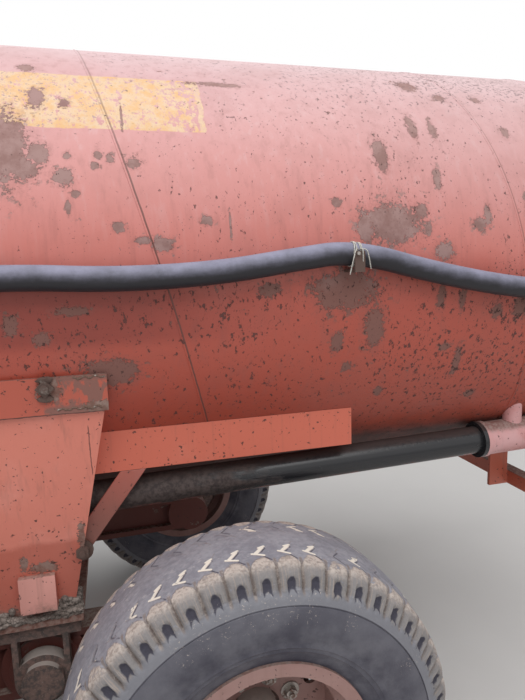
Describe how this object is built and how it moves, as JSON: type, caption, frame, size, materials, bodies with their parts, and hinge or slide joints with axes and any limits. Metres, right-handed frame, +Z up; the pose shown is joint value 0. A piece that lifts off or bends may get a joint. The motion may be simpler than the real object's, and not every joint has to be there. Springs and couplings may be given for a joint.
{
  "type": "slurry tanker trailer",
  "caption": "Tandem-bogie slurry tanker trailer with a round dished-end tank, drawbar, pump, side pipe and stowed suction hose.",
  "frame": {"origin": "on the ground at the middle of the trailer's length, on its centre plane", "axes": "+X rearwards along the tank, away from the towing eye; +Y to the trailer's right-hand side; +Z up"},
  "size_m": [7.046, 2.204, 2.7493],
  "materials": {
    "red_paint": "weathered",
    "faded_red_paint": "faded",
    "dark_red_paint": "dirty",
    "black_paint": "satin",
    "cast_iron": "rusty",
    "bare_steel": "worn",
    "tyre_rubber": "matte",
    "hose_rubber": "satin",
    "lamp_plastic": "gloss"
  },
  "bodies": {
    "chassis": {"tank_shell": "red_paint", "front_head": "red_paint", "rear_head": "red_paint", "manhole_neck": "red_paint", "cross_saddle": "red_paint", "front_cradles": "red_paint", "bogie_shaft": "cast_iron", "drawbar_frame": "red_paint", "tow_eye": "bare_steel", "parking_jack": "red_paint", "pump_deck": "red_paint", "pump_body": "cast_iron", "pressure_pipe": "black_paint", "suction_pipe": "red_paint", "rear_manifold": "faded_red_paint", "discharge_valve": "cast_iron", "discharge_nozzle": "red_paint", "ladder": "red_paint", "level_gauge": "bare_steel", "lamp_bar": "red_paint", "rear_lamps": "lamp_plastic", "suction_hose": "hose_rubber", "hose_couplings": "bare_steel", "hose_hooks": "bare_steel", "side_rail_left": "red_paint", "side_rail_right": "red_paint", "saddle_left": "red_paint", "saddle_right": "red_paint", "braces_left": "red_paint", "braces_right": "red_paint", "pivot_block_left": "cast_iron", "pivot_block_right": "cast_iron", "balance_beam_left": "dark_red_paint", "balance_beam_right": "dark_red_paint", "stub_axles_left": "cast_iron", "stub_axles_right": "cast_iron"},
    "manhole_lid": {"manhole_lid": "red_paint"},
    "pump_shaft": {"pump_shaft": "bare_steel"},
    "wheel_front_left": {"tyre_front_left": "tyre_rubber", "rim_front_left": "faded_red_paint", "hub_front_left": "cast_iron"},
    "wheel_front_right": {"tyre_front_right": "tyre_rubber", "rim_front_right": "faded_red_paint", "hub_front_right": "cast_iron"},
    "wheel_rear_left": {"tyre_rear_left": "tyre_rubber", "rim_rear_left": "faded_red_paint", "hub_rear_left": "cast_iron"},
    "wheel_rear_right": {"tyre_rear_right": "tyre_rubber", "rim_rear_right": "faded_red_paint", "hub_rear_right": "cast_iron"}
  },
  "joints": [
    {"name": "wheel_front_left_spin", "type": "hinge", "parent": "chassis", "child": "wheel_front_left", "pos_m": [0.386, -0.919, 0.535], "axis": [0, 1, 0], "continuous": true},
    {"name": "wheel_front_right_spin", "type": "hinge", "parent": "chassis", "child": "wheel_front_right", "pos_m": [0.386, 0.919, 0.535], "axis": [0, 1, 0], "continuous": true},
    {"name": "wheel_rear_left_spin", "type": "hinge", "parent": "chassis", "child": "wheel_rear_left", "pos_m": [1.578, -0.919, 0.535], "axis": [0, 1, 0], "continuous": true},
    {"name": "wheel_rear_right_spin", "type": "hinge", "parent": "chassis", "child": "wheel_rear_right", "pos_m": [1.578, 0.919, 0.535], "axis": [0, 1, 0], "continuous": true},
    {"name": "manhole_lid_hinge", "type": "hinge", "parent": "chassis", "child": "manhole_lid", "pos_m": [0.004, 0, 2.678], "axis": [0, 1, 0], "range_deg": [0, 110]},
    {"name": "pump_shaft_spin", "type": "hinge", "parent": "chassis", "child": "pump_shaft", "pos_m": [-2.718, 0, 1.148], "axis": [1, 0, 0], "continuous": true}
  ]
}
